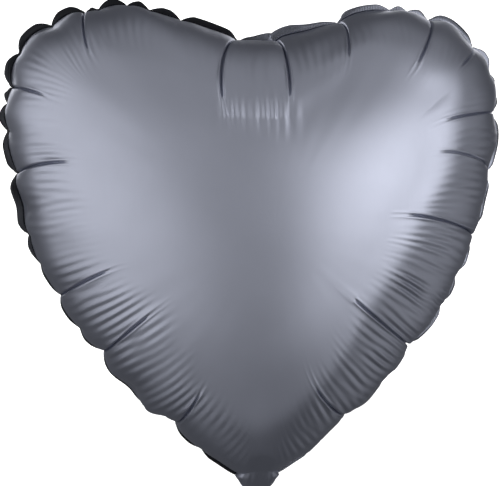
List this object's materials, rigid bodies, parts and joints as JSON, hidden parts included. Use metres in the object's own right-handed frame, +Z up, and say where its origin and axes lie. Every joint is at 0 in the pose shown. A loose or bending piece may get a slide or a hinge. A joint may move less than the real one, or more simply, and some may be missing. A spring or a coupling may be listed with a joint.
{
  "type": "heart-shaped foil balloon",
  "caption": "Inflated heart-shaped foil balloon with a welded edge and a valved filling tail folded up behind.",
  "frame": {"origin": "middle of the neck at the bottom tip of the heart, where a ribbon is tied", "axes": "+X to the viewer's right, +Y to the back (the front of the heart faces -Y), +Z up towards the notch between the lobes"},
  "size_m": [0.3734, 0.1638, 0.3602],
  "materials": {
    "satin_foil": "satin metallic graphite",
    "welded_seam": "dark satin metallic, embossed by the sealing bar",
    "valve_film": "clear polyethylene film",
    "release_ink": "matt heat-proof ink"
  },
  "bodies": {
    "envelope": {"front_panel": "satin_foil", "back_panel": "satin_foil", "perimeter_seal": "welded_seam", "valve_front_film": "valve_film", "valve_back_film": "valve_film", "valve_release_print": "release_ink", "neck_fold": "satin_foil"},
    "tail": {"tail_front_film": "satin_foil", "tail_back_film": "satin_foil", "tail_side_seals": "welded_seam", "tail_valve_front_film": "valve_film", "tail_valve_back_film": "valve_film"}
  },
  "joints": [
    {"name": "tail_fold", "type": "hinge", "parent": "envelope", "child": "tail", "pos_m": [0, 0, -0.007], "axis": [-1, 0, 0], "range_deg": [0, 270], "deforming": ["neck_fold"]}
  ]
}
